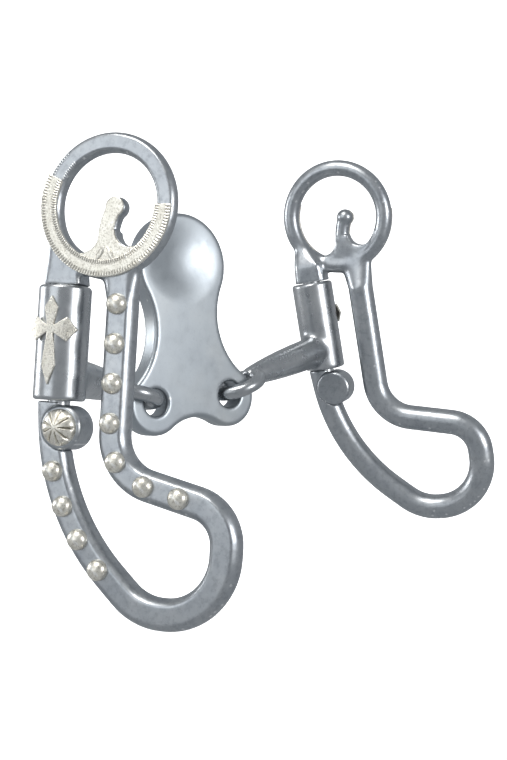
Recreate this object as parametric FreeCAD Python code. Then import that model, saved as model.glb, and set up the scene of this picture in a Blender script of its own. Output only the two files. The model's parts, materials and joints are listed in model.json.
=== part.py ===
"""Loose-cheek western curb bit with a three-piece linked mouthpiece, in millimetres.

+X runs from the left cheek to the right cheek, +Y towards the horse's nose, +Z up.
The origin is the middle of the left headstall ring, halfway through its bar.
A cheek and an arm are each drawn from the middle of their swivel sleeve, with its pin along Z.
Both halves are one design: the right half is the left one mirrored, and turned to its rest pose.
"""
import FreeCAD
import Part
import math
import os

os.makedirs("parts", exist_ok=True)

# ---------------------------------------------------------------- driving dimensions
# cheek bar, seen from the side: places are (y, z) from the middle of the sleeve
BAR_R = 4.5
FACE_INSET = 0.9
LEG_Y = -18.4
LEG_TOP_BELOW_RING = 8.8
LEG_BEND_Z = -35.4
LOOP_SLOPE = 0.226
LOOP_BACK_Y = -53.4
LOOP_BOTTOM_Z = -71.9
FRONT_LEG_SLOPE_DEG = 41.5
FRONT_BEND = (-1.2, -47.3)
FRONT_TOP_Y = 2.0
LEG_BEND_R = 14.3
LOOP_TOP_R = 11.3
LOOP_BOTTOM_R = 17.0
FRONT_BEND_R = 61.7

# headstall ring, and the curb-strap hook: its places are from the lowest point of the ring's centre line
RING_Y = -13.2
RING_ABOVE_SEAT = 4.4
RING_R = 17.7
RING_BAR_R = 2.9
RING_FACE_INSET = 0.6
HOOK_R = 2.5
HOOK_TIP_R = 3.0
HOOK_FACE_INSET = 0.4
HOOK_BASE = (-0.7, 6.0)
HOOK_MIDDLE = (-0.95, 11.7)
HOOK_TIP = (-2.9, 17.1)
WEB_TOP = 10.6
WEB_BACK_FACE_X = 1.0
POCKET_MIDDLE = (-8.3, 11.1)
POCKET_R = 4.85
FRONT_HOLLOW_MIDDLE = (7.1, 10.0)
FRONT_HOLLOW_R = 5.6
FLARE_HALF_WIDTH = 6.3
FLARE_HALF_DEPTH = 2.5
FLARE_TOP = (-4.7, 1.35)
FLARE_LEAN_DEG = -16.0

# swivel: pin through the neck and the lower leg, sleeve between them
PIN_R = 3.175
RUNNING_FIT = 0.065
SLEEVE_R = 7.4
SLEEVE_LENGTH = 32.2
SLEEVE_CHAMFER = 0.6
END_CLEARANCE = 0.3
PIN_INTO_NECK = 5.6
PIN_INTO_BOSS = 7.6

# neck that carries the upper end of the pin
NECK_FRONT_Y = 5.4
NECK_REAR_Y = -6.2
NECK_CHAMFER = 1.6
NECK_STRAIGHT = 6.2
NECK_SHOULDER = (5.2, -5.7, 4.2)
NECK_HEIGHT = 14.3
NECK_TOP = (4.5, 0.7, 1.9)

# boss at the lower end of the pin, and its dome
BOSS_Y = -3.1
BOSS_BELOW_SEAT = 7.1
BOSS_R = 6.3
BOSS_STANDS_OUT = 0.5
BOSS_STANDS_IN = 0.1
BOSS_CHAMFER = 0.7
CONCHO_INSET = 1.3
CONCHO_RISE = 2.4

# round-headed studs riveted into the flat outer face
STUD_R = 2.8
STUD_RISE = 2.4
STUD_POST_R = 0.8
STUD_POST_LENGTH = 2.0
REAR_STUDS = 7
REAR_STUD_PITCH = 10.9
REAR_STUD_FIRST = 0.8
FRONT_STUDS = 4
FRONT_STUD_PITCH = 10.2
FRONT_STUD_FIRST = 19.6

# silver overlay on the ring and the hook
OVERLAY_THICK = 0.8
OVERLAY_INSET = 0.5
OVERLAY_FROM_DEG = 26.0
OVERLAY_TO_DEG = 180.0
OVERLAY_WEDGE_SIDES = 8

# cross on the outer side of each sleeve
CROSS_THICK = 0.8
CROSS_BEND_R = 11.0
CROSS_CENTRE_Z = 3.6
CROSS_UP = 9.2
CROSS_DOWN = 15.6
CROSS_ARM = 7.2
CROSS_HALF_WIDTH = 2.0
CROSS_ARM_HALF_WIDTH = 3.4
CROSS_WAIST = 0.9
CROSS_SHOULDER_SHARE = 0.65

# mouthpiece arms: a tapered cannon that ends in an eye
ARM_LENGTH = 50.3
EYE_Z = -13.5
EYE_TILT_DEG = 14.2
EYE_PLAY = 0.67
EYE_WIRE_R = 2.3
CANNON_ROOT_Z = -8.6
CANNON_ROOT_R = 6.2
CANNON_SHOULDER_R = 5.3
CANNON_NECK_R = 3.2
CANNON_SHOULDER_SHARE = 0.45
CANNON_WAIST_SHARE = 0.8

# port plate: x from its middle line, z from the line of its two holes
PLATE_THICK = 7.7
PLATE_EDGE_R = 1.4
SPOON_R = 17.0
SPOON_Z = 44.0
LOBE_R = 10.0
LOBE_X = 14.5
LOBE_Z = -0.8
WAIST_R = 24.5
NOTCH_Z = -6.3
HOLE_X = 14.6
HOLE_R = 4.4
HOLE_EDGE_R = 0.9
LINK_RISE_DEG = 22.0

# rest pose: turns about Z, then Y, then X, in degrees
LEFT_ARM_TURN = 3.0
RIGHT_ARM_TURN = -18.2
PLATE_TURN = (-31.4, -8.5, -1.6)
RIGHT_CHEEK_TURN = (0.6, -10.7, -9.3)

# ---------------------------------------------------------------- derived places
SLEEVE_TOP = SLEEVE_LENGTH / 2
SEAT_Z = SLEEVE_TOP + END_CLEARANCE
FACE_X = FACE_INSET - BAR_R
RING_X = FACE_X + RING_BAR_R - RING_FACE_INSET
RING_Z = SEAT_Z + RING_ABOVE_SEAT + RING_R
HOOK_X = FACE_X + HOOK_R - HOOK_FACE_INSET
LEG_TOP_Z = RING_Z - RING_R - LEG_TOP_BELOW_RING
BOSS_Z = -SEAT_Z - BOSS_BELOW_SEAT
BOSS_OUTER_X = FACE_X - BOSS_STANDS_OUT
BOSS_INNER_X = BAR_R + BOSS_STANDS_IN
CONCHO_R = BOSS_R - CONCHO_INSET
BIG = 400.0
SMALL = 0.01
X_AXIS = FreeCAD.Vector(1, 0, 0)
Z_AXIS = FreeCAD.Vector(0, 0, 1)
ORIGIN = FreeCAD.Vector(0, 0, 0)


def side_point(y, z, x=0.0):
    """A point of the cheek's plane, or beside it."""
    return FreeCAD.Vector(x, y, z)


def ring_middle(x):
    """The middle of the headstall ring, at a given x."""
    return FreeCAD.Vector(x, RING_Y, RING_Z)


def hook_point(place, x):
    """A point of the hook, from a (y, z) pair and an x."""
    return ring_middle(x) + FreeCAD.Vector(0, place[0], place[1] - RING_R)


def mirrored(p):
    """The same point or direction on the other side of the YZ plane."""
    return FreeCAD.Vector(-p.x, p.y, p.z)


# ---------------------------------------------------------------- paths and solids
def rounded_path(corners, radii):
    """Straight runs through the corners, joined by tangent arcs of the given radii."""
    edges = []
    start = corners[0]
    for before, corner, after, radius in zip(corners, corners[1:], corners[2:], radii):
        back = (before - corner).normalize()
        ahead = (after - corner).normalize()
        half_turn = (math.pi - back.getAngle(ahead)) / 2
        reach = radius * math.tan(half_turn)
        arc_start = corner + back * reach
        arc_end = corner + ahead * reach
        middle = (back + ahead).normalize()
        arc_middle = corner + middle * (radius / math.cos(half_turn) - radius)
        edges.append(Part.LineSegment(start, arc_start).toShape())
        edges.append(Part.Arc(arc_start, arc_middle, arc_end).toShape())
        start = arc_end
    edges.append(Part.LineSegment(start, corners[-1]).toShape())
    return edges


def point_along(edges, distance):
    """The point a given distance along a chain of edges."""
    for edge in edges:
        if distance <= edge.Length:
            return edge.valueAt(edge.getParameterByLength(distance))
        distance -= edge.Length
    raise ValueError("the path is shorter than that")


def round_bar(edges, radius):
    """A round bar of one radius along a chain of edges."""
    first = edges[0]
    section = Part.Circle(first.valueAt(first.FirstParameter), first.tangentAt(first.FirstParameter), radius)
    face = Part.Face(Part.Wire(section.toShape()))
    return Part.Wire(edges).makePipe(face)


def outside(shape, x):
    """Cut away what lies beyond a flat face at x, on the outer side of the left cheek."""
    block = Part.makeBox(BIG, 2 * BIG, 2 * BIG, FreeCAD.Vector(x - BIG, -BIG, -BIG))
    return shape.cut(block)


def dome(centre, radius, rise):
    """A low dome standing outwards from a flat face, with its rim at the centre's x."""
    ball_r = (radius**2 + rise**2) / (2 * rise)
    ball = Part.makeSphere(ball_r, centre + X_AXIS * (ball_r - rise))
    keep = Part.makeCylinder(2 * radius, rise + 1, centre, -X_AXIS)
    return ball.common(keep)


def solid_of(shape):
    """The solid of a boolean result that holds one solid."""
    return shape.Solids[0] if len(shape.Solids) == 1 else shape


# ---------------------------------------------------------------- cheek
def cheek_path():
    """Centre line from the ring down the rear leg, round the rein loop and up to the boss."""
    bend_drop = LOOP_SLOPE * (LEG_Y - LOOP_BACK_Y)
    slope = math.tan(math.radians(FRONT_LEG_SLOPE_DEG))
    low_y = FRONT_BEND[0] - (FRONT_BEND[1] - LOOP_BOTTOM_Z) / slope
    corners = [
        side_point(LEG_Y, LEG_TOP_Z),
        side_point(LEG_Y, LEG_BEND_Z),
        side_point(LOOP_BACK_Y, LEG_BEND_Z - bend_drop),
        side_point(LOOP_BACK_Y, LOOP_BOTTOM_Z),
        side_point(low_y, LOOP_BOTTOM_Z),
        side_point(*FRONT_BEND),
        side_point(FRONT_TOP_Y, -SEAT_Z + BAR_R),
    ]
    radii = [LEG_BEND_R, LOOP_TOP_R, LOOP_BOTTOM_R, LOOP_BOTTOM_R, FRONT_BEND_R]
    return rounded_path(corners, radii)


def neck_section(front, rear, half_depth, middle_x, z):
    """Eight-sided outline across the neck at one height."""
    c = NECK_CHAMFER * half_depth / BAR_R
    outline = [
        (half_depth, rear + c), (half_depth, front - c), (half_depth - c, front), (c - half_depth, front),
        (-half_depth, front - c), (-half_depth, rear + c), (c - half_depth, rear), (half_depth - c, rear),
    ]
    points = [FreeCAD.Vector(middle_x + x, y, z) for x, y in outline]
    return Part.makePolygon(points + points[:1])


def neck():
    """Eight-sided block above the sleeve: straight round the pin, then tapered into the ring's bar."""
    return Part.makeLoft([
        neck_section(NECK_FRONT_Y, NECK_REAR_Y, BAR_R, 0, SEAT_Z),
        neck_section(*NECK_SHOULDER, 0, SEAT_Z + NECK_STRAIGHT),
        neck_section(*NECK_TOP, RING_X, SEAT_Z + NECK_HEIGHT),
    ], True, True)


def oval(middle, half_depth, half_width, lean_deg):
    """Oval outline across a bar: half_depth along X, half_width along Y, leaning about X."""
    stretch = FreeCAD.Matrix()
    stretch.scale(half_depth, half_width, 1)
    outline = Part.Wire(Part.Circle(ORIGIN, Z_AXIS, 1).toShape()).transformGeometry(stretch)
    outline.Placement = FreeCAD.Placement(middle, FreeCAD.Rotation(X_AXIS, lean_deg))
    return Part.Wire(outline.Edges)


def leg_flare():
    """The top of the rear leg, which spreads into the ring's bar."""
    low = oval(side_point(LEG_Y, LEG_TOP_Z), BAR_R, BAR_R, 0)
    high = oval(hook_point(FLARE_TOP, RING_X), FLARE_HALF_DEPTH, FLARE_HALF_WIDTH, FLARE_LEAN_DEG)
    return Part.makeLoft([low, high], True, True)


def hook_bar(radius, x):
    """The curb-strap hook's bar: one arc inside the ring."""
    base, middle, tip = (hook_point(place, x) for place in (HOOK_BASE, HOOK_MIDDLE, HOOK_TIP))
    return round_bar([Part.Arc(base, middle, tip).toShape()], radius)


def hook_web(low_x, high_x, inset):
    """Plate between the ring and the hook's foot, hollowed by a round pocket on each side of the hook."""
    depth = high_x - low_x
    disc = Part.makeCylinder(RING_R, depth, ring_middle(low_x), X_AXIS)
    corner = hook_point((POCKET_MIDDLE[0] - POCKET_R, -RING_BAR_R), low_x)
    width = FRONT_HOLLOW_MIDDLE[0] - POCKET_MIDDLE[0] + POCKET_R
    web = disc.common(Part.makeBox(depth, width, WEB_TOP + RING_BAR_R, corner))
    pocket = Part.makeCylinder(POCKET_R + inset, depth, hook_point(POCKET_MIDDLE, low_x), X_AXIS)
    hollow = Part.makeCylinder(FRONT_HOLLOW_R + inset, depth, hook_point(FRONT_HOLLOW_MIDDLE, low_x), X_AXIS)
    return web.cut([pocket, hollow])


def pin():
    """Swivel pin, riveted into the neck above and the boss below."""
    low = -SEAT_Z - PIN_INTO_BOSS
    return Part.makeCylinder(PIN_R, SEAT_Z + PIN_INTO_NECK - low, FreeCAD.Vector(0, 0, low), Z_AXIS)


def stud_places():
    """Stud centres on the outer face: the rear leg's, then the front leg's."""
    edges = cheek_path()
    rear = [point_along(edges, REAR_STUD_FIRST + i * REAR_STUD_PITCH) for i in range(REAR_STUDS)]
    length = sum(edge.Length for edge in edges)
    last = length - BAR_R - FRONT_STUD_FIRST
    front = [point_along(edges, last - i * FRONT_STUD_PITCH) for i in range(FRONT_STUDS)]
    out = X_AXIS * FACE_X
    return [p + out for p in rear], [p + out for p in front]


def stud(place):
    """Round-headed stud with its post set into the bar."""
    post = Part.makeCylinder(STUD_POST_R, STUD_POST_LENGTH, place, X_AXIS)
    return solid_of(dome(place, STUD_R, STUD_RISE).fuse(post))


def boss():
    """Round boss against the lower leg, drilled for the pin."""
    start = side_point(BOSS_Y, BOSS_Z, BOSS_OUTER_X)
    disc = Part.makeCylinder(BOSS_R, BOSS_INNER_X - BOSS_OUTER_X, start, X_AXIS)
    rims = [e for e in disc.Edges if isinstance(e.Curve, Part.Circle)]
    return disc.makeChamfer(BOSS_CHAMFER, rims)


def cheek_bars():
    """The forged cheek before it is drilled: ring, hook, neck, legs and rein loop."""
    bars = round_bar(cheek_path(), BAR_R)
    ring = Part.makeTorus(RING_R, RING_BAR_R, ring_middle(RING_X), X_AXIS)
    hook = hook_bar(HOOK_R, HOOK_X)
    hook_tip = Part.makeSphere(HOOK_TIP_R, hook_point(HOOK_TIP, HOOK_X))
    web = hook_web(RING_X - RING_BAR_R, WEB_BACK_FACE_X, 0.0)
    body = outside(bars.multiFuse([leg_flare(), ring, hook, hook_tip, web, neck()]), FACE_X)
    top_gap = Part.makeBox(BIG, 2 * SLEEVE_R, 2 * BAR_R, FreeCAD.Vector(-BIG / 2, -SLEEVE_R, -SEAT_Z))
    return body.cut(top_gap)


def cheek():
    """One piece: the cheek with its pin holes and stud holes."""
    rear, front = stud_places()
    posts = [Part.makeCylinder(STUD_POST_R, STUD_POST_LENGTH, p, X_AXIS) for p in rear + front]
    return solid_of(cheek_bars().cut([boss(), pin()] + posts))


def overlay_disc(middle, radius):
    """Round plate of the overlay's thickness, against the outer face."""
    return Part.makeCylinder(radius, OVERLAY_THICK, middle, X_AXIS)


def ring_overlay():
    """Thin silver plate over the lower part of the ring and the whole hook."""
    outer_x = FACE_X - OVERLAY_THICK
    middle = ring_middle(outer_x)
    sector = [middle]
    span = OVERLAY_FROM_DEG + OVERLAY_TO_DEG
    for i in range(OVERLAY_WEDGE_SIDES + 1):
        angle = math.radians(OVERLAY_FROM_DEG - span * i / OVERLAY_WEDGE_SIDES)
        sector.append(middle + FreeCAD.Vector(0, math.cos(angle), math.sin(angle)) * (2 * RING_R))
    wedge = Part.Face(Part.makePolygon(sector + sector[:1])).extrude(X_AXIS * OVERLAY_THICK)
    outer = overlay_disc(middle, RING_R + RING_BAR_R - OVERLAY_INSET)
    plate = outer.cut(overlay_disc(middle, RING_R - RING_BAR_R + OVERLAY_INSET)).common(wedge)

    edge = OVERLAY_INSET / 2
    slab = Part.makeBox(OVERLAY_THICK, 2 * BIG, 2 * BIG, FreeCAD.Vector(outer_x, -BIG, -BIG))
    strip = hook_bar(HOOK_R - edge, outer_x + OVERLAY_THICK / 2).common(slab)
    tip = overlay_disc(hook_point(HOOK_TIP, outer_x), HOOK_TIP_R - edge)
    return solid_of(plate.multiFuse([strip, tip, hook_web(outer_x, FACE_X, edge)]))


def concho():
    """Silver dome on the outer face of the boss."""
    return dome(side_point(BOSS_Y, BOSS_Z, BOSS_OUTER_X), CONCHO_R, CONCHO_RISE)


# ---------------------------------------------------------------- mouthpiece arm
def eye_frame():
    """Middle of the eye, the way into it along the arm, and the axis it turns about."""
    tilt = math.radians(EYE_TILT_DEG)
    middle = FreeCAD.Vector(ARM_LENGTH, 0, EYE_Z)
    way_in = FreeCAD.Vector(math.cos(tilt), 0, -math.sin(tilt))
    axis = FreeCAD.Vector(math.sin(tilt), 0, math.cos(tilt))
    return middle, way_in, axis


def eye_opening_r():
    """Half the eye's opening: it goes round the plate's rim between a hole's edge and the lobe's edge."""
    return math.hypot(lobe_margin() / 2, PLATE_THICK / 2) + EYE_PLAY


def sleeve():
    """Swivel sleeve that turns on the pin."""
    low = FreeCAD.Vector(0, 0, -SLEEVE_TOP)
    tube = Part.makeCylinder(SLEEVE_R, SLEEVE_LENGTH, low, Z_AXIS)
    rims = [e for e in tube.Edges if isinstance(e.Curve, Part.Circle)]
    tube = tube.makeChamfer(SLEEVE_CHAMFER, rims)
    return tube.cut(Part.makeCylinder(PIN_R + RUNNING_FIT, SLEEVE_LENGTH, low, Z_AXIS))


def cannon():
    """Tapered cannon, welded to the sleeve, with the eye that links it to the port plate."""
    middle, way_in, axis = eye_frame()
    opening_r = eye_opening_r()
    eye_r = opening_r + EYE_WIRE_R
    root = FreeCAD.Vector(0, 0, CANNON_ROOT_Z)
    end = middle - way_in * eye_r
    reach = (end - root).Length
    curve = Part.BSplineCurve()
    curve.interpolate([
        FreeCAD.Vector(0, 0, CANNON_ROOT_R),
        FreeCAD.Vector(CANNON_SHOULDER_SHARE * reach, 0, CANNON_SHOULDER_R),
        FreeCAD.Vector(CANNON_WAIST_SHARE * reach, 0, (CANNON_SHOULDER_R + CANNON_NECK_R) / 2),
        FreeCAD.Vector(reach, 0, CANNON_NECK_R),
    ])
    tip = FreeCAD.Vector(reach, 0, 0)
    outline = Part.Wire([
        Part.LineSegment(ORIGIN, FreeCAD.Vector(0, 0, CANNON_ROOT_R)).toShape(),
        curve.toShape(),
        Part.LineSegment(FreeCAD.Vector(reach, 0, CANNON_NECK_R), tip).toShape(),
        Part.LineSegment(tip, ORIGIN).toShape(),
    ])
    taper = Part.Face(outline).revolve(ORIGIN, X_AXIS, 360)
    taper.Placement = FreeCAD.Placement(root, FreeCAD.Rotation(X_AXIS, end - root))
    nose = Part.makeSphere(CANNON_NECK_R, end)
    eye = Part.makeTorus(eye_r, EYE_WIRE_R, middle, axis)
    depth = 2 * CANNON_ROOT_R
    opening = Part.makeCylinder(opening_r, depth, middle - axis * (depth / 2), axis)
    seat = Part.makeCylinder(SLEEVE_R, BIG, FreeCAD.Vector(0, 0, -BIG / 2), Z_AXIS)
    return solid_of(taper.fuse(nose).cut([seat, opening]).fuse(eye))


def sleeve_cross():
    """Silver cross, lightly bent, on the outer side of the sleeve."""
    up, down, arm = CROSS_UP, CROSS_DOWN, CROSS_ARM
    wide, tall, waist = CROSS_HALF_WIDTH, CROSS_ARM_HALF_WIDTH, CROSS_WAIST
    share = CROSS_SHOULDER_SHARE
    half = [
        (0, up), (wide, share * up), (waist, waist), (share * arm, tall), (arm, 0),
        (share * arm, -tall), (waist, -waist), (wide, -share * down), (0, -down),
    ]
    outline = half + [(-y, z) for y, z in reversed(half[1:-1])]
    points = [FreeCAD.Vector(-2 * CROSS_BEND_R, y, CROSS_CENTRE_Z + z) for y, z in outline]
    prism = Part.Face(Part.makePolygon(points + points[:1])).extrude(X_AXIS * (2 * CROSS_BEND_R))
    axis_x = CROSS_BEND_R - SLEEVE_R
    low = FreeCAD.Vector(axis_x, 0, -BIG / 2)
    shell = Part.makeCylinder(CROSS_BEND_R + CROSS_THICK, BIG, low, Z_AXIS)
    shell = shell.cut(Part.makeCylinder(CROSS_BEND_R, BIG, low, Z_AXIS))
    return solid_of(prism.common(shell))


# ---------------------------------------------------------------- port plate
def tangent_centre(a, a_r, b, b_r, radius):
    """Centre of a circle that touches two circles from outside, on the right of the way from a to b."""
    reach_a = a_r + radius
    reach_b = b_r + radius
    way = b - a
    along = (reach_a**2 - reach_b**2 + way.Length**2) / (2 * way.Length)
    across = math.sqrt(reach_a**2 - along**2)
    unit = FreeCAD.Vector(way).normalize()
    side = FreeCAD.Vector(-unit.z, 0, unit.x)
    return a + unit * along + side * across


def link_way():
    """Direction on the plate from a hole's middle to the place its eye goes round."""
    rise = math.radians(LINK_RISE_DEG)
    return FreeCAD.Vector(math.cos(rise), 0, math.sin(rise))


def lobe_margin():
    """Width of plate between a hole's edge and its lobe's edge, along link_way."""
    offset = FreeCAD.Vector(HOLE_X - LOBE_X, 0, -LOBE_Z)
    along = offset.dot(link_way())
    return math.sqrt(along**2 + LOBE_R**2 - offset.Length**2) - along - HOLE_R


def link_place():
    """Where an eye's middle sits on the plate: halfway from a hole's edge to its lobe's edge."""
    return FreeCAD.Vector(HOLE_X, 0, 0) + link_way() * (HOLE_R + lobe_margin() / 2)


def arc_between(centre, radius, start, end, middle_way):
    """Arc of a circle from start to end, through the side that middle_way points to."""
    return Part.Arc(start, centre + FreeCAD.Vector(middle_way).normalize() * radius, end).toShape()


def port_plate():
    """Spoon-shaped port plate with two link holes, standing in its own XZ plane."""
    spoon = FreeCAD.Vector(0, 0, SPOON_Z)
    lobe = FreeCAD.Vector(LOBE_X, 0, LOBE_Z)
    waist = tangent_centre(spoon, SPOON_R, lobe, LOBE_R, WAIST_R)
    rise = NOTCH_Z - LOBE_Z
    notch_r = (LOBE_X**2 + rise**2 - LOBE_R**2) / (2 * (LOBE_R + rise))
    notch = FreeCAD.Vector(0, 0, NOTCH_Z - notch_r)

    spoon_end = spoon + (waist - spoon).normalize() * SPOON_R
    lobe_start = lobe + (waist - lobe).normalize() * LOBE_R
    lobe_end = lobe + (notch - lobe).normalize() * LOBE_R
    waist_way = (spoon_end + lobe_start) * 0.5 - waist
    lobe_way = FreeCAD.Vector(1, 0, -1)
    edges = [
        arc_between(spoon, SPOON_R, mirrored(spoon_end), spoon_end, Z_AXIS),
        arc_between(waist, WAIST_R, spoon_end, lobe_start, waist_way),
        arc_between(lobe, LOBE_R, lobe_start, lobe_end, lobe_way),
        arc_between(notch, notch_r, lobe_end, mirrored(lobe_end), Z_AXIS),
        arc_between(mirrored(lobe), LOBE_R, mirrored(lobe_end), mirrored(lobe_start), mirrored(lobe_way)),
        arc_between(mirrored(waist), WAIST_R, mirrored(lobe_start), mirrored(spoon_end), mirrored(waist_way)),
    ]
    depth = FreeCAD.Vector(0, PLATE_THICK, 0)
    plate = Part.Face(Part.Wire(edges)).extrude(depth)
    plate.translate(depth * -0.5)
    rim = [e for e in plate.Edges if e.BoundBox.YLength < SMALL]
    plate = plate.makeFillet(PLATE_EDGE_R, rim)
    for x in (-HOLE_X, HOLE_X):
        start = FreeCAD.Vector(x, -PLATE_THICK / 2, 0)
        plate = plate.cut(Part.makeCylinder(HOLE_R, PLATE_THICK, start, FreeCAD.Vector(0, 1, 0)))
    circles = [e for e in plate.Edges if isinstance(e.Curve, Part.Circle) and abs(e.Curve.Center.z) < SMALL]
    return plate.makeFillet(HOLE_EDGE_R, [e for e in circles if abs(e.Curve.Radius - HOLE_R) < SMALL])


# ---------------------------------------------------------------- rest pose
def turn(angles):
    """Rotation about Z, then the new Y, then the new X."""
    return FreeCAD.Rotation(*angles)


def rest_places():
    """Where each moving group stands at rest, so that the chain of links closes."""
    eye, _, axis = eye_frame()
    link = link_place()
    left_base = -ring_middle(RING_X)
    left_arm = FreeCAD.Placement(left_base, turn((LEFT_ARM_TURN, 0, 0)))
    left_link = left_arm.multVec(eye)

    plate_turn = turn(PLATE_TURN)
    plate = FreeCAD.Placement(left_link - plate_turn.multVec(mirrored(link)), plate_turn)
    right_link = plate.multVec(link)

    cheek_turn = turn(RIGHT_CHEEK_TURN)
    arm_turn = cheek_turn.multiply(turn((RIGHT_ARM_TURN, 0, 0)))
    right_base = right_link - arm_turn.multVec(mirrored(eye))
    return {
        "left_cheek": FreeCAD.Placement(left_base, FreeCAD.Rotation()),
        "left_arm": left_arm,
        "plate": plate,
        "right_arm": FreeCAD.Placement(right_base, arm_turn),
        "right_cheek": FreeCAD.Placement(right_base, cheek_turn),
    }


def cheek_pieces():
    """Every piece that stays with a cheek, in the left cheek's own frame."""
    rear, front = stud_places()
    return {
        "cheek": cheek(),
        "pivot_pin": pin(),
        "boss": solid_of(boss().cut(pin())),
        "ring_overlay": ring_overlay(),
        "concho": concho(),
        "rear_leg_studs": Part.makeCompound([stud(p) for p in rear]),
        "front_leg_studs": Part.makeCompound([stud(p) for p in front]),
    }


def arm_pieces():
    """Every piece of a mouthpiece arm, in the left arm's own frame."""
    return {"sleeve": sleeve(), "cannon": cannon(), "sleeve_cross": sleeve_cross()}


def place(shape, placement):
    """A copy of the shape, moved by a placement."""
    return shape.transformed(placement.toMatrix(), True)


def build():
    """All pieces in the rest pose, by name."""
    places = rest_places()
    pieces = {}
    for group, made in (("cheek", cheek_pieces()), ("arm", arm_pieces())):
        for name, shape in made.items():
            pieces["left_" + name] = place(shape, places["left_" + group])
            pieces["right_" + name] = place(shape.mirror(ORIGIN, X_AXIS), places["right_" + group])
    pieces["port_plate"] = place(port_plate(), places["plate"])
    return pieces


for node, shape in build().items():
    shape.exportStep("parts/" + node + ".step")
    print(node, "solids", len(shape.Solids), "volume", round(shape.Volume, 1), "valid", shape.isValid())
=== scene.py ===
import json
import math

import bmesh
import bpy
from mathutils import Euler, Matrix, Vector


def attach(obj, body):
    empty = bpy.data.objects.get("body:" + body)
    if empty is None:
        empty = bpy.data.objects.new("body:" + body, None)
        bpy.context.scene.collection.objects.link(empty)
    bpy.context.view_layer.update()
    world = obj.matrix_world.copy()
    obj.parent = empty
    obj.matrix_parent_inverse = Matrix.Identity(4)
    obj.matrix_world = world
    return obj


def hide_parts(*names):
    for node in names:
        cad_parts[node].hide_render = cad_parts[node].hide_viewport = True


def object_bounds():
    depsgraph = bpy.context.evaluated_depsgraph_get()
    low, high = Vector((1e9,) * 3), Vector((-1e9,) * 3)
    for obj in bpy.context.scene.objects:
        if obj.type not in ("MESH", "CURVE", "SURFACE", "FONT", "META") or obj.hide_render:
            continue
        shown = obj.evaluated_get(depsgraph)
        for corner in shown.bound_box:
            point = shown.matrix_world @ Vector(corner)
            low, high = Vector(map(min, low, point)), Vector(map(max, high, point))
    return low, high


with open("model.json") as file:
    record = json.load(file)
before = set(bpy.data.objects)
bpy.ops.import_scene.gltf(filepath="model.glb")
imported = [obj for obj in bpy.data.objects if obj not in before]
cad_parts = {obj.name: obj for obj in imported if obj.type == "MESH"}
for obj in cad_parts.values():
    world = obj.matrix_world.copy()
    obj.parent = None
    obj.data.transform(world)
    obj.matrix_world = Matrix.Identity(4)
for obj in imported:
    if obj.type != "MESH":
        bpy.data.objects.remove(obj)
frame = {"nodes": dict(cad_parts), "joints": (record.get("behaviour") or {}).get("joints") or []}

CAD_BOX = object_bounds()
MM = 0.001

# ---------------------------------------------------------------- sizes of the bit, in millimetres
FACE_X = -3.6
RING_MIDDLE = (-13.2, 38.5)
OVERLAY_FACE_X = FACE_X - 0.8

# engraved border of the silver ring plate: two rows of strokes with a raised band between them
ENGRAVING_FROM_DEG = 26
ENGRAVING_TO_DEG = -180
ENGRAVING_STROKES = 84
ENGRAVING_BACK = 0.3
ENGRAVING_FRONT = 0.2
INNER_ROW = (15.32, 15.42, 15.8, 16.15, 16.5)
BAND = (16.7, 17.2, 17.7, 18.2, 18.6)
OUTER_ROW = (18.85, 19.2, 19.6, 20.0, 20.08)
BAND_RISE = 0.1
STROKE_RISES = (0.0, 0.16, 0.22, 0.16, 0.0)
ROW_END = 0.05
ROW_END_SHARE = 0.3

# strokes that run on over the bare steel, each half as wide, long and thick as given
LOOSE_STROKES = 9
LOOSE_STROKE_FIRST_DEG = 2.2
LOOSE_STROKE_PITCH_DEG = 2.45
LOOSE_STROKE_RADII = (15.95, 19.15)
LOOSE_STROKE_HALF_SIZE = (0.14, 0.62, 0.2)

# leaves at the hook's foot: each leaf's lean, and its shift from their middle
LEAVES = ((32, 1.5), (-32, -1.6))
LEAVES_MIDDLE = (-0.9, -13.6)
LEAF_HALF_SIZE = (0.4, 0.85, 2.4)
LEAF_TAPER = 0.55
LEAF_SUNK = 0.05

# studs, and the concho on the boss
STUD_R = 2.95
STUD_RISE = 2.75
STUD_FOOT = 0.35
CONCHO_R = 5.2
CONCHO_RISE = 3.3
CONCHO_FOOT = 0.25
CONCHO_GROOVES = 9
GROOVE_FROM = 0.12
GROOVE_TO = 0.99
GROOVE_WIDTH = 1.9
GROOVE_DEPTH = 0.85
GROOVE_PINCH = 0.09
BOSS_FACE_X = -4.1
DOME_SUNK = 0.6

# port plate and the round hollow in its upper lobe
PLATE_HALF = 3.85
DISH_MIDDLE_Z = 45.5
DISH_R = 15.0
DISH_DEPTH = 1.5

# welds, about a cheek or an arm: each weld's place and its reach
CHEEK_WELDS = [((0, 2.0, 22.0), 7.0), ((0, 0.5, 28.0), 7.0), ((0, -18.4, 19.0), 7.5), ((0, -8.5, 21.0), 6.0)]
HOOK_WELDS = [((0, -14.0, 27.0), 5.0), ((0, -9.5, 25.5), 4.5), ((0, -18.0, 25.5), 4.5)]
ROOT_WELD = [((8.0, 0, -8.6), 10.5)]
ROOT_PAD_MIDDLE = (5.4, 0, -8.6)
ROOT_PAD_HALF_SIZE = (4.4, 4.3, 6.9)
CHEEK_RUBS = 90
ROOT_RUBS = 160

# cells of each forging's skin
CHEEK_CELL = 0.36
BOSS_CELL = 0.24
RING_PLATE_CELL = 0.2
ARM_CELL = 0.34
CROSS_CELL = 0.17
PORT_PLATE_CELL = 0.42

# rest pose: turns about Z, Y and X, in degrees
LEFT_ARM_TURN = (3.0, 0, 0)
RIGHT_ARM_TURN = (-18.2, 0, 0)
PLATE_TURN = (-31.4, -8.5, -1.6)
RIGHT_CHEEK_TURN = (0.6, -10.7, -9.3)
LINK_RISE = 2.69


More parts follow.
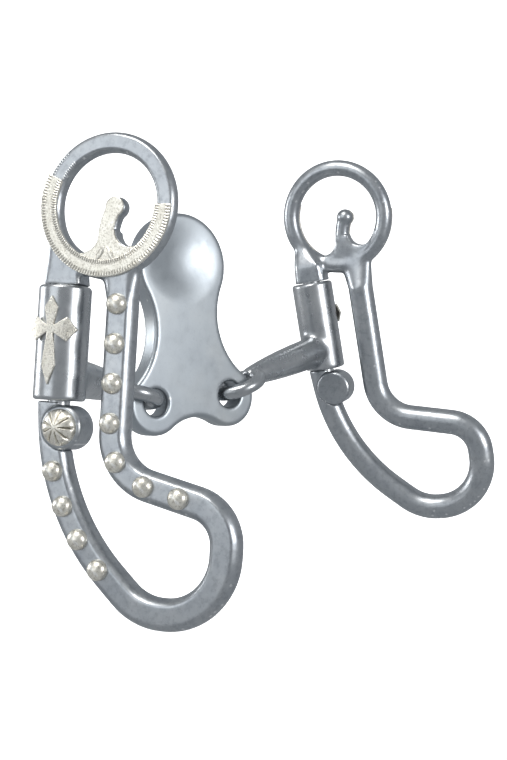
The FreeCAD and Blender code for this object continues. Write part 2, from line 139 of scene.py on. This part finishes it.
# ---------------------------------------------------------------- places
def turned(angles):
    """Turn about Z, then the new Y, then the new X."""
    z, y, x = (math.radians(a) for a in angles)
    return Euler((x, y, z), "XYZ").to_matrix().to_4x4()


def joint_place(name):
    """Where a joint turns, in metres."""
    return Vector(next(j for j in frame["joints"] if j["name"] == name)["pos_m"])


def at(place, angles):
    return Matrix.Translation(place) @ turned(angles)


MIRROR = Matrix.Scale(-1, 4, (1, 0, 0))
PLATE_ROTATION = turned(PLATE_TURN)
LINKS_MIDDLE = (joint_place("left_link") + joint_place("right_link")) / 2
LEFT_CHEEK = at(joint_place("left_swivel"), (0, 0, 0))
LEFT_ARM = at(joint_place("left_swivel"), LEFT_ARM_TURN)
RIGHT_CHEEK = at(joint_place("right_swivel"), RIGHT_CHEEK_TURN) @ MIRROR
RIGHT_ARM = at(joint_place("right_swivel"), RIGHT_CHEEK_TURN) @ turned(RIGHT_ARM_TURN) @ MIRROR
PLATE = Matrix.Translation(LINKS_MIDDLE - PLATE_ROTATION @ Vector((0, 0, LINK_RISE * MM))) @ PLATE_ROTATION
SIDES = {
    "left": (LEFT_CHEEK, LEFT_ARM, "left_cheek_body", "left_arm"),
    "right": (RIGHT_CHEEK, RIGHT_ARM, "right_cheek_body", "right_arm"),
}


# ---------------------------------------------------------------- materials
class Finish:
    """A node material with short helpers; every pattern reads Object coordinates, in metres."""

    def __init__(self, name):
        self.material = bpy.data.materials.new(name)
        self.material.use_nodes = True
        self.tree = self.material.node_tree
        self.shader = self.tree.nodes["Principled BSDF"]
        self.coords = self.new("ShaderNodeTexCoord").outputs["Object"]

    def new(self, kind, **inputs):
        node = self.tree.nodes.new(kind)
        for key, value in inputs.items():
            node.inputs[key.replace("_", " ")].default_value = value
        return node

    def link(self, out, into):
        self.tree.links.new(out, into)

    def noise(self, scale, detail=3.0, rough=0.55, distort=0.0, stretch=None):
        node = self.new("ShaderNodeTexNoise", Scale=scale, Detail=detail, Roughness=rough, Distortion=distort)
        coords = self.coords
        if stretch:
            mapping = self.new("ShaderNodeMapping")
            mapping.inputs["Scale"].default_value = stretch
            self.link(coords, mapping.inputs["Vector"])
            coords = mapping.outputs["Vector"]
        self.link(coords, node.inputs["Vector"])
        return node.outputs["Fac"]

    def ramp(self, value, stops):
        node = self.new("ShaderNodeValToRGB")
        marks = node.color_ramp.elements
        while len(marks) < len(stops):
            marks.new(0.5)
        for mark, (place, tone) in zip(marks, stops):
            mark.position = place
            mark.color = (*tone, 1) if isinstance(tone, tuple) else (tone, tone, tone, 1)
        self.link(value, node.inputs["Fac"])
        return node.outputs["Color"]

    def mix(self, share, a, b, way="MIX"):
        node = self.tree.nodes.new("ShaderNodeMix")
        node.data_type = "RGBA"
        node.blend_type = way
        for value, socket in ((share, node.inputs["Factor"]), (a, node.inputs["A"]), (b, node.inputs["B"])):
            if hasattr(value, "links"):
                self.link(value, socket)
            elif socket.type == "RGBA":
                socket.default_value = (*value, 1)
            else:
                socket.default_value = value
        return [o for o in node.outputs if o.type == "RGBA"][0]

    def edges(self, low, high):
        """Pointiness ramp: white on convex edges, for wear, and black in hollows, for painted shade."""
        wear_and_shade = self.new("ShaderNodeNewGeometry").outputs["Pointiness"]
        return self.ramp(wear_and_shade, [(low, 0.0), (high, 1.0)])

    def bumps(self, layers):
        """Bump layers, each a (height, strength, distance)."""
        normal = None
        for height, strength, distance in layers:
            node = self.new("ShaderNodeBump", Strength=strength, Distance=distance)
            self.link(height, node.inputs["Height"])
            if normal:
                self.link(normal, node.inputs["Normal"])
            normal = node.outputs["Normal"]
        self.link(normal, self.shader.inputs["Normal"])

    def metal(self, colour, rough):
        self.shader.inputs["Metallic"].default_value = 1.0
        self.link(colour, self.shader.inputs["Base Color"])
        self.link(rough, self.shader.inputs["Roughness"])


def forged_steel():
    """Satin grey steel of the cheeks: mottled, with painted shade in the hollows, brighter edges from wear
    and fine rubbing marks.
    """
    f = Finish("forged_steel_satin")
    tones = [(0.3, (0.42, 0.445, 0.475)), (0.52, (0.475, 0.5, 0.525)), (0.72, (0.53, 0.55, 0.57))]
    mottle = f.ramp(f.noise(170, 5), tones)
    grime = f.ramp(f.noise(620, 4, 0.7), [(0.34, (0.5, 0.51, 0.54)), (0.52, (1.0, 1.0, 1.0))])
    colour = f.mix(0.4, mottle, grime, "MULTIPLY")
    # painted shade: near-black steel in the hollows, where pointiness is low
    colour = f.mix(f.edges(0.4, 0.49), (0.13, 0.135, 0.145), colour)
    colour = f.mix(f.edges(0.52, 0.62), colour, (0.74, 0.755, 0.77))
    rough = f.ramp(f.noise(420, 4, 0.65), [(0.25, 0.27), (0.75, 0.4)])
    f.metal(colour, rough)
    rubbing = f.noise(900, 3, 0.6, 0.0, (1.0, 1.0, 0.12))
    f.bumps([(f.noise(170, 2), 0.16, 0.0005), (rubbing, 0.1, 0.0002), (f.noise(2600, 2), 0.07, 0.0001)])
    return f.material


def satin_steel():
    """Smoother satin steel of the cannons and the port plate."""
    f = Finish("mouthpiece_satin_steel")
    tones = [(0.3, (0.4, 0.435, 0.47)), (0.55, (0.44, 0.475, 0.505)), (0.75, (0.49, 0.515, 0.53))]
    tone = f.ramp(f.noise(45, 2), tones)
    specks = f.ramp(f.noise(1100, 3, 0.7), [(0.3, (0.66, 0.67, 0.69)), (0.46, (1.0, 1.0, 1.0))])
    colour = f.mix(0.2, tone, specks, "MULTIPLY")
    # painted shade: dark brownish steel in the hollows, where pointiness is low
    colour = f.mix(f.edges(0.4, 0.49), (0.17, 0.15, 0.14), colour)
    colour = f.mix(f.edges(0.54, 0.66), colour, (0.75, 0.76, 0.76))
    rough = f.ramp(f.noise(260, 4), [(0.3, 0.34), (0.7, 0.43)])
    f.metal(colour, rough)
    f.bumps([(f.noise(120, 2), 0.07, 0.0005), (f.noise(1500, 3), 0.06, 0.00012)])
    return f.material


def arm_steel():
    """Polished sleeve and cannon in one: faint turning marks, soft ripples and a few dull spots."""
    f = Finish("arm_polished_steel")
    tone = f.ramp(f.noise(110, 4), [(0.3, (0.46, 0.48, 0.5)), (0.7, (0.57, 0.585, 0.6))])
    dull = f.ramp(f.noise(520, 4, 0.7), [(0.35, (0.66, 0.68, 0.71)), (0.5, (1.0, 1.0, 1.0))])
    rough = f.ramp(f.noise(300, 4, 0.6), [(0.3, 0.25), (0.62, 0.32), (0.8, 0.4)])
    colour = f.mix(0.35, tone, dull, "MULTIPLY")
    # painted shade: near-black steel in the hollows, where pointiness is low
    colour = f.mix(f.edges(0.4, 0.49), (0.14, 0.145, 0.155), colour)
    f.metal(colour, rough)
    f.bumps([(f.noise(1400, 2, 0.5, 0.0, (0.1, 0.1, 1.0)), 0.05, 0.0001), (f.noise(190, 2), 0.07, 0.0004)])
    return f.material


def silver(name, stipple, strength):
    """Warm silver trim: painted shade in the hollows, bright rubbed tops, and a stippled face."""
    f = Finish(name)
    tone = f.ramp(f.noise(260, 4), [(0.3, (0.74, 0.71, 0.63)), (0.7, (0.9, 0.875, 0.8))])
    # painted shade: near-black warm silver in the hollows, where pointiness is low
    colour = f.mix(f.edges(0.43, 0.49), (0.12, 0.11, 0.095), tone)
    colour = f.mix(f.edges(0.53, 0.62), colour, (0.96, 0.95, 0.91))
    pits = f.noise(stipple, 2, 0.6)
    colour = f.mix(0.5, colour, f.ramp(pits, [(0.36, (0.42, 0.4, 0.37)), (0.5, (1.0, 1.0, 1.0))]), "MULTIPLY")
    rough = f.ramp(f.noise(700, 3), [(0.3, 0.26), (0.7, 0.42)])
    f.metal(colour, rough)
    f.shader.inputs["Metallic"].default_value = 0.9
    f.bumps([(pits, strength, 0.0003)])
    return f.material


FORGED = forged_steel()
SATIN = satin_steel()
ARM_STEEL = arm_steel()
SILVER = silver("silver_trim", 1500, 0.2)
STIPPLED = silver("silver_stippled", 2100, 0.75)
ENGRAVED = silver("silver_engraved", 1700, 0.35)


# ---------------------------------------------------------------- building
def finished(mesh, name, body, material, replaced=()):
    """Turns a mesh in the row frame into a piece that rides on its body."""
    piece = bpy.data.objects.new(name, mesh)
    bpy.context.scene.collection.objects.link(piece)
    mesh.materials.clear()
    mesh.materials.append(material)
    for polygon in mesh.polygons:
        polygon.use_smooth = True
    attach(piece, body)
    if replaced:
        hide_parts(*replaced)
    return piece


def placed(bm, matrix, name):
    """A mesh in the row frame from a bmesh drawn in millimetres about its own place."""
    bmesh.ops.remove_doubles(bm, verts=bm.verts, dist=0.0005)
    bm.transform(matrix @ Matrix.Scale(MM, 4))
    bmesh.ops.recalc_face_normals(bm, faces=bm.faces)
    mesh = bpy.data.meshes.new(name)
    bm.to_mesh(mesh)
    bm.free()
    return mesh


def evaluated(piece, name):
    """The piece's mesh with its modifiers applied."""
    layer = bpy.context.evaluated_depsgraph_get()
    mesh = bpy.data.meshes.new_from_object(piece.evaluated_get(layer))
    mesh.name = name
    return mesh


def blank(name, mesh):
    """A working object that is removed once its modifiers are applied."""
    made = bpy.data.objects.new(name + "_blank", mesh)
    bpy.context.scene.collection.objects.link(made)
    return made


def rubbed(name, mesh, rounds, welds=()):
    """The mesh smoothed all over, or only near its welds, each a (place in metres, reach in millimetres)."""
    copy = blank(name, mesh)
    rub = copy.modifiers.new("rub", "SMOOTH")
    rub.factor = 0.5
    rub.iterations = rounds
    if welds:
        near = copy.vertex_groups.new(name="near_welds")
        rub.vertex_group = near.name
        for vert in mesh.vertices:
            share = max(1 - (vert.co - place).length / (reach * MM) for place, reach in welds)
            if share > 0:
                near.add([vert.index], min(1.0, 2 * share), "REPLACE")
    final = evaluated(copy, name)
    bpy.data.objects.remove(copy)
    return final


def softened(
    nodes, name, cell_mm, rounds, body, material, welds=(), weld_rounds=0, pads=(), reshape=None,
):
    """CAD nodes and round weld pads in one skin, blended at the welds and rounded at the edges."""
    bm = bmesh.new()
    for node in nodes:
        bm.from_mesh(frame["nodes"][node].data)
    bmesh.ops.remove_doubles(bm, verts=bm.verts, dist=1e-6)
    for pad in pads:
        bmesh.ops.create_uvsphere(bm, u_segments=32, v_segments=20, radius=MM, matrix=pad)
    mesh = bpy.data.meshes.new(name)
    bm.to_mesh(mesh)
    bm.free()
    copy = blank(name, mesh)
    cells = copy.modifiers.new("cells", "REMESH")
    cells.mode = "VOXEL"
    cells.voxel_size = cell_mm * MM
    skin = evaluated(copy, name)
    bpy.data.objects.remove(copy)
    if welds:
        skin = rubbed(name, skin, weld_rounds, welds)
    final = rubbed(name, skin, rounds)
    if reshape:
        reshape(final)
    return finished(final, name, body, material, nodes)


def islands(node, matrix):
    """Middle of each separate solid of a CAD node, in millimetres about a place."""
    bm = bmesh.new()
    bm.from_mesh(frame["nodes"][node].data)
    bmesh.ops.remove_doubles(bm, verts=bm.verts, dist=1e-6)
    inverse = matrix.inverted()
    seen, middles = set(), []
    for vert in bm.verts:
        if vert in seen:
            continue
        seen.add(vert)
        group, waiting = [], [vert]
        while waiting:
            here = waiting.pop()
            group.append(inverse @ here.co / MM)
            for edge in here.link_edges:
                other = edge.other_vert(here)
                if other not in seen:
                    seen.add(other)
                    waiting.append(other)
        low = [min(p[i] for p in group) for i in range(3)]
        high = [max(p[i] for p in group) for i in range(3)]
        middles.append(tuple((a + b) / 2 for a, b in zip(low, high)))
    bm.free()
    return middles


def lathe(bm, profile, steps):
    """Spins (radius, height) points about Z into a new skin of bm."""
    verts = [bm.verts.new((r, 0, h)) for r, h in profile]
    edges = [bm.edges.new(pair) for pair in zip(verts, verts[1:])]
    bmesh.ops.spin(
        bm, geom=verts + edges, cent=(0, 0, 0), axis=(0, 0, 1), angle=math.tau, steps=steps, use_merge=True,
    )


OUTWARD = Matrix.Rotation(-math.pi / 2, 4, "Y")


def dome_profile(radius, rise, foot):
    """A low dome on a short upright foot, from its rim to its top."""
    points = [(0.0, -DOME_SUNK), (radius * 0.98, -DOME_SUNK), (radius, 0.0), (radius, foot)]
    rings = 8
    for i in range(1, rings + 1):
        angle = math.pi / 2 * i / rings
        points.append((radius * math.cos(angle), foot + (rise - foot) * math.sin(angle)))
    return points


def domes(places, radius, rise, foot, steps):
    """One skin of domes that stand outwards at (y, z) places on a face at x."""
    whole = bmesh.new()
    for x, y, z in places:
        part = bmesh.new()
        lathe(part, dome_profile(radius, rise, foot), steps)
        bmesh.ops.remove_doubles(part, verts=part.verts, dist=0.0005)
        part.transform(Matrix.Translation((x, y, z)) @ OUTWARD)
        scrap = bpy.data.meshes.new("scrap")
        part.to_mesh(scrap)
        part.free()
        whole.from_mesh(scrap)
        bpy.data.meshes.remove(scrap)
    return whole


def studs(side, name):
    matrix, _, body, _ = SIDES[side]
    node = side + "_" + name
    places = [(FACE_X, y, z) for _, y, z in islands(node, matrix)]
    bm = domes(places, STUD_R, STUD_RISE, STUD_FOOT, 28)
    finished(placed(bm, matrix, node), node + "_heads", body, SILVER, (node,))


def concho(side):
    """Domed rosette, with radial grooves round a smooth middle."""
    matrix, _, body, _ = SIDES[side]
    node = side + "_concho"
    _, y, z = islands(node, matrix)[0]
    bm = domes([(BOSS_FACE_X, y, z)], CONCHO_R, CONCHO_RISE, CONCHO_FOOT, 20 * CONCHO_GROOVES)
    for vert in bm.verts:
        across, up = vert.co.y - y, vert.co.z - z
        r = math.hypot(across, up) / CONCHO_R
        if GROOVE_FROM < r < GROOVE_TO and vert.co.x < BOSS_FACE_X - 2 * CONCHO_FOOT:
            wave = abs(math.cos(math.atan2(up, across) * CONCHO_GROOVES / 2))
            fade = min(1.0, (GROOVE_TO - r) * 6) * min(1.0, (r - GROOVE_FROM) * 5)
            groove = max(0.0, 1 - wave * GROOVE_WIDTH) * fade
            vert.co.x += GROOVE_DEPTH * groove
            vert.co.y = y + across * (1 - GROOVE_PINCH * groove)
            vert.co.z = z + up * (1 - GROOVE_PINCH * groove)
    finished(placed(bm, matrix, node), node + "_rosette", body, SILVER, (node,))


def engraving(side):
    """Raised border on the silver ring plate: a row of short radial strokes along each edge."""
    matrix, _, body, _ = SIDES[side]
    y0, z0 = RING_MIDDLE
    start, stop = math.radians(ENGRAVING_FROM_DEG), math.radians(ENGRAVING_TO_DEG)
    radii = INNER_ROW + BAND + OUTER_ROW
    bm = bmesh.new()
    front = [bm.verts.new((OVERLAY_FACE_X - ENGRAVING_FRONT, r, 0)) for r in radii]
    back = [bm.verts.new((OVERLAY_FACE_X + ENGRAVING_BACK, r, 0)) for r in (radii[-1], radii[0])]
    loop = front + back
    edges = [bm.edges.new(pair) for pair in zip(loop, loop[1:] + loop[:1])]
    steps = len(STROKE_RISES) * ENGRAVING_STROKES
    face = bmesh.ops.contextual_create(bm, geom=edges)["faces"][0]
    turn = Matrix.Rotation(start, 4, "X")
    bmesh.ops.transform(bm, matrix=turn, verts=loop)
    bmesh.ops.spin(
        bm, geom=[face], cent=(0, 0, 0), axis=(1, 0, 0), angle=stop - start, steps=steps, use_merge=False,
    )
    for vert in bm.verts:
        r = math.hypot(vert.co.y, vert.co.z)
        if vert.co.x > OVERLAY_FACE_X:
            continue
        angle = math.atan2(vert.co.z, vert.co.y)
        if angle > start + 0.01:
            angle -= math.tau
        step = round((start - angle) / (start - stop) * steps)
        height = BAND_RISE
        if r < (INNER_ROW[-1] + BAND[0]) / 2 or r > (BAND[-1] + OUTER_ROW[0]) / 2:
            height = STROKE_RISES[step % len(STROKE_RISES)]
            if r < radii[0] + ROW_END or r > radii[-1] - ROW_END:
                height *= ROW_END_SHARE
        vert.co.x -= height
    bm.transform(Matrix.Translation((0, y0, z0)))
    name = side + "_ring_engraving"
    finished(placed(bm, matrix, name), name, body, ENGRAVED)


def tick_marks(side):
    """The border's strokes run on for a short way over the bare steel, along both edges."""
    matrix, _, body, _ = SIDES[side]
    y0, z0 = RING_MIDDLE
    whole = bmesh.new()
    for i in range(LOOSE_STROKES):
        for radius in LOOSE_STROKE_RADII:
            angle = math.radians(ENGRAVING_FROM_DEG + LOOSE_STROKE_FIRST_DEG + LOOSE_STROKE_PITCH_DEG * i)
            made = bmesh.ops.create_uvsphere(whole, u_segments=8, v_segments=5, radius=1.0)
            stroke = Matrix.Translation((FACE_X, y0, z0)) @ Matrix.Rotation(angle, 4, "X")
            stroke = stroke @ Matrix.Translation((0, radius, 0))
            stroke = stroke @ Matrix.Diagonal((*LOOSE_STROKE_HALF_SIZE, 1))
            bmesh.ops.transform(whole, matrix=stroke, verts=made["verts"])
    name = side + "_ring_tick_marks"
    finished(placed(whole, matrix, name), name, body, FORGED)


def leaf_pair(side):
    """Two small raised leaves at the foot of the hook."""
    matrix, _, body, _ = SIDES[side]
    y0, z0 = RING_MIDDLE
    whole = bmesh.new()
    for tilt, shift in LEAVES:
        made = bmesh.ops.create_uvsphere(whole, u_segments=20, v_segments=12, radius=1.0)
        for vert in made["verts"]:
            vert.co.y *= 1 - LEAF_TAPER * max(0.0, vert.co.z) ** 1.5
        place = (OVERLAY_FACE_X - LEAF_SUNK, y0 + LEAVES_MIDDLE[0] + shift, z0 + LEAVES_MIDDLE[1])
        lean = Matrix.Rotation(math.radians(tilt), 4, "X")
        leaf = Matrix.Translation(place) @ lean @ Matrix.Diagonal((*LEAF_HALF_SIZE, 1))
        bmesh.ops.transform(whole, matrix=leaf, verts=made["verts"])
    name = side + "_hook_leaves"
    finished(placed(whole, matrix, name), name, body, SILVER)


def dished(mesh):
    """Presses a shallow round hollow into both faces of the plate's upper lobe."""
    inverse = PLATE.inverted()
    for vert in mesh.vertices:
        p = inverse @ vert.co / MM
        share = math.hypot(p.x, p.z - DISH_MIDDLE_Z) / DISH_R
        if share < 1 and abs(p.y) > 0.6 * PLATE_HALF:
            hollow = DISH_DEPTH * (1 - share**2) ** 2
            p.y -= math.copysign(hollow, p.y)
            vert.co = PLATE @ (p * MM)


def in_row(places, matrix):
    """Weld places, given in millimetres about a cheek or an arm, as places in the row frame."""
    return [(matrix @ (Vector(p) * MM), reach) for p, reach in places]


def ball_to_pad(arm_place):
    """Turns a one-millimetre ball into the oval pad of the weld between a sleeve and its cannon."""
    middle = Matrix.Translation(Vector(ROOT_PAD_MIDDLE) * MM)
    return arm_place @ middle @ Matrix.Diagonal((*ROOT_PAD_HALF_SIZE, 1))


for side, (cheek_place, arm_place, cheek_body, arm_body) in SIDES.items():
    coarse = 1.0
    softened(
        [side + "_cheek"], side + "_cheek_forging", CHEEK_CELL * coarse, 4, cheek_body,
        FORGED, in_row(CHEEK_WELDS + HOOK_WELDS, cheek_place), CHEEK_RUBS,
    )
    softened(
        [side + "_boss"], side + "_boss_block", BOSS_CELL * coarse, 3, cheek_body, FORGED,
    )
    softened(
        [side + "_ring_overlay"], side + "_ring_plate", RING_PLATE_CELL * coarse, 2, cheek_body,
        ENGRAVED,
    )
    softened(
        [side + "_cannon", side + "_sleeve"], side + "_cannon_and_sleeve", ARM_CELL * coarse, 4, arm_body,
        ARM_STEEL, in_row(ROOT_WELD, arm_place), ROOT_RUBS, [ball_to_pad(arm_place)],
    )
    softened(
        [side + "_sleeve_cross"], side + "_cross_plate", CROSS_CELL * coarse, 2, arm_body, STIPPLED,
    )
    studs(side, "rear_leg_studs")
    studs(side, "front_leg_studs")
    concho(side)
    engraving(side)
    tick_marks(side)
    leaf_pair(side)
    pin_mesh = frame["nodes"][side + "_pivot_pin"].data
    pin_mesh.materials.clear()
    pin_mesh.materials.append(FORGED)
softened(
    ["port_plate"], "port_plate_spoon", PORT_PLATE_CELL, 5, "plate", SATIN, reshape=dished,
)


# ---------------------------------------------------------------- studio
def plain(name, colour, strength=0.0):
    material = bpy.data.materials.new(name)
    material.use_nodes = True
    shader = material.node_tree.nodes["Principled BSDF"]
    shader.inputs["Base Color"].default_value = (*colour, 1)
    shader.inputs["Roughness"].default_value = 0.9
    shader.inputs["Emission Color"].default_value = (*colour, 1)
    shader.inputs["Emission Strength"].default_value = strength
    return material


def sheet(name, size, place, turn, material):
    bm = bmesh.new()
    bmesh.ops.create_grid(bm, x_segments=1, y_segments=1, size=size)
    mesh = bpy.data.meshes.new(name)
    bm.to_mesh(mesh)
    bm.free()
    made = bpy.data.objects.new(name, mesh)
    bpy.context.scene.collection.objects.link(made)
    made.location = place
    made.rotation_euler = turn
    mesh.materials.append(material)
    made.visible_glossy = False
    return made


LOW, HIGH = CAD_BOX
MIDDLE = (LOW + HIGH) / 2
AHEAD = Vector((0.9305, 0.3653, 0.0256)).normalized()
RIGHT_WAY = Vector((0.3635, -0.9298, 0.0572)).normalized()
FLOOR_WHITE = plain("studio_floor", (0.9, 0.9, 0.9), 0.45)
BACK_WHITE = plain("studio_backdrop", (1.0, 1.0, 1.0), 0.9)
FLOOR_Z = LOW.z - 0.16
sheet("floor", 3.0, (MIDDLE.x, MIDDLE.y, FLOOR_Z), (0, 0, 0), FLOOR_WHITE)
backdrop = sheet("backdrop", 0.5, MIDDLE + AHEAD * 0.9, (0, 0, 0), BACK_WHITE)
backdrop.rotation_euler = (-AHEAD).to_track_quat("Z", "Y").to_euler()

world = bpy.context.scene.world or bpy.data.worlds.new("studio")
bpy.context.scene.world = world
world.use_nodes = True
world.node_tree.nodes["Background"].inputs["Color"].default_value = (0.92, 0.96, 1.0, 1)
world.node_tree.nodes["Background"].inputs["Strength"].default_value = 0.4


def softbox(name, place, energy, size, colour=(1, 1, 1)):
    lamp = bpy.data.lights.new(name, "AREA")
    lamp.energy = energy
    lamp.size = size
    lamp.color = colour
    made = bpy.data.objects.new(name, lamp)
    bpy.context.scene.collection.objects.link(made)
    made.location = place
    made.rotation_euler = (MIDDLE - Vector(place)).to_track_quat("-Z", "Y").to_euler()
    return made


softbox("key", MIDDLE - AHEAD * 0.35 - RIGHT_WAY * 0.25 + Vector((0, 0, 0.55)), 2.4, 0.3, (1.0, 0.98, 0.94))
softbox("right_strip", MIDDLE - AHEAD * 0.45 + RIGHT_WAY * 0.5 + Vector((0, 0, 0.1)), 1.6, 0.22)
softbox("face_fill", MIDDLE + Vector((-0.7, 0.3, 0.12)), 0.75, 0.45, (0.95, 0.98, 1.0))
softbox("left_rim", MIDDLE + AHEAD * 0.1 - RIGHT_WAY * 0.6 + Vector((0, 0, 0.1)), 0.7, 0.2)

lens = bpy.data.cameras.new("view")
camera = bpy.data.objects.new("view", lens)
bpy.context.scene.collection.objects.link(camera)
bpy.context.scene.camera = camera
lens.sensor_width = 36
lens.lens = 56.84
lens.clip_start = 0.01
UP_WAY = RIGHT_WAY.cross(AHEAD).normalized()
CAMERA_PLACE = joint_place("left_swivel") + Vector((-0.29421, -0.17379, -0.01583))
CAMERA_TURN = Matrix((RIGHT_WAY, UP_WAY, -AHEAD)).transposed().to_4x4()
camera.matrix_world = Matrix.Translation(CAMERA_PLACE) @ CAMERA_TURN
bpy.context.scene.view_settings.view_transform = "Standard"
